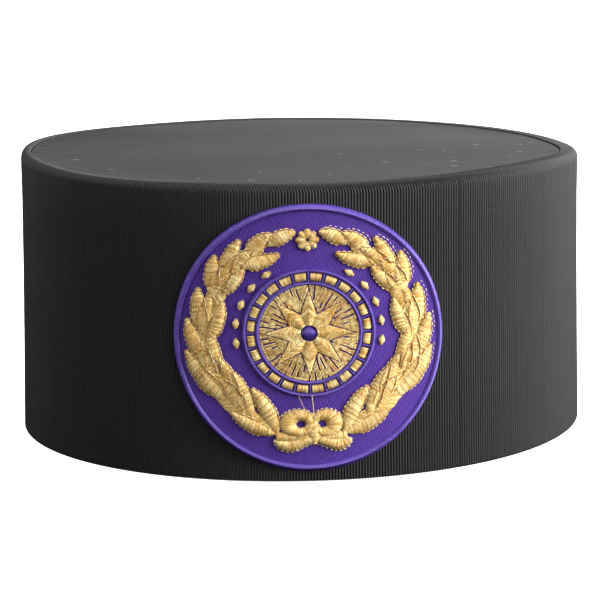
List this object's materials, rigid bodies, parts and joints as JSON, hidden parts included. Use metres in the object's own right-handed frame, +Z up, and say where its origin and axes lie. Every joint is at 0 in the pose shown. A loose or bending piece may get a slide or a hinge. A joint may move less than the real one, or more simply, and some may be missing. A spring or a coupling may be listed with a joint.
{
  "type": "masonic crown cap",
  "caption": "Round stiff crown cap with an upright ribbed band, a flat top and a round embroidered patch on the front.",
  "frame": {"origin": "on the surface that the hem stands on, on the axis of the crown", "axes": "+Z up along the axis of the crown, -Y out of the front where the patch is, +X to the right seen from the front"},
  "size_m": [0.2008, 0.2034, 0.1001],
  "materials": {
    "ribbed_cloth": "matt ribbed",
    "top_cloth": "soft sheen",
    "purple_twill": "matt twill",
    "purple_thread": "satin thread",
    "gold_thread": "satin thread"
  },
  "bodies": {
    "root": {"side_band": "ribbed_cloth", "top_panel": "top_cloth", "patch_ground": "purple_twill", "patch_border": "purple_thread", "wreath_left": "gold_thread", "wreath_right": "gold_thread", "wreath_bow": "gold_thread", "ring_band": "gold_thread", "ray_field": "gold_thread", "star": "gold_thread", "star_boss": "purple_thread", "top_rosette": "gold_thread", "lozenge_left_1": "gold_thread", "lozenge_left_2": "gold_thread", "lozenge_left_3": "gold_thread", "lozenge_left_4": "gold_thread", "lozenge_left_5": "gold_thread", "lozenge_right_1": "gold_thread", "lozenge_right_2": "gold_thread", "lozenge_right_3": "gold_thread", "lozenge_right_4": "gold_thread", "lozenge_right_5": "gold_thread"}
  },
  "joints": []
}
